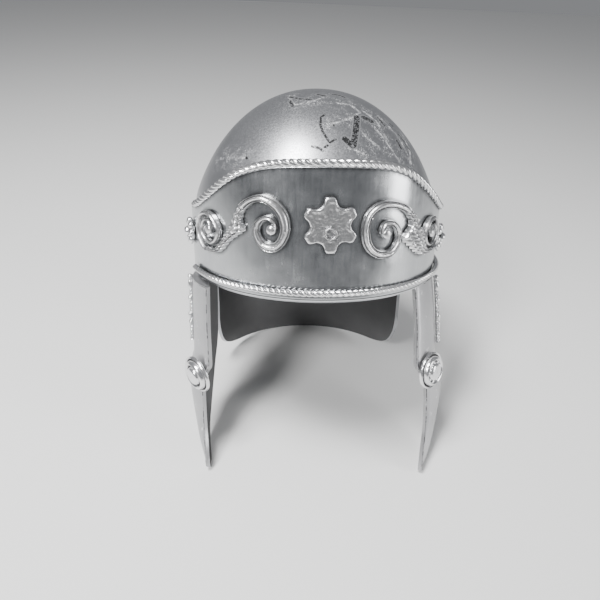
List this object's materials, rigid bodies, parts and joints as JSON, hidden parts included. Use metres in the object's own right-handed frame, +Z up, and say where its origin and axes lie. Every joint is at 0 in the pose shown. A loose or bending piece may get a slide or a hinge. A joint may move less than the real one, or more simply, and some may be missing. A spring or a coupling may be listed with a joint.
{
  "type": "helmet",
  "caption": "Roman legionary stage helmet of silver-painted plastic, with an upright scrolled brow band, a long neck guard and cheek guards.",
  "frame": {"origin": "middle of the footprint on the surface that the helmet stands on, tilted back on its cheek guard tips and neck guard", "axes": "+Z up, -Y the helmet's front, +X the side of its right-hand guard as seen from the front"},
  "size_m": [0.2488, 0.2622, 0.3103],
  "materials": {
    "painted_shell": "metallic silver paint over dark plastic, rubbed and scratched",
    "polished_band": "smooth bright metallic silver paint over dark plastic",
    "cast_relief": "bright metallic silver paint on moulded relief",
    "worn_paint": "worn silver paint with dark plastic showing at the edges"
  },
  "bodies": {
    "root": {"skull": "painted_shell", "brow_band": "polished_band", "rope_top": "cast_relief", "rope_bottom": "cast_relief", "front_rosette": "cast_relief", "rosette_ring": "cast_relief", "scroll_left": "cast_relief", "scroll_right": "cast_relief", "temple_boss_left": "cast_relief", "temple_boss_right": "cast_relief", "cheek_guard_left": "worn_paint", "cheek_guard_right": "worn_paint", "cheek_boss_left": "cast_relief", "cheek_boss_right": "cast_relief", "cheek_strip_left": "worn_paint", "cheek_strip_right": "worn_paint"}
  },
  "joints": []
}
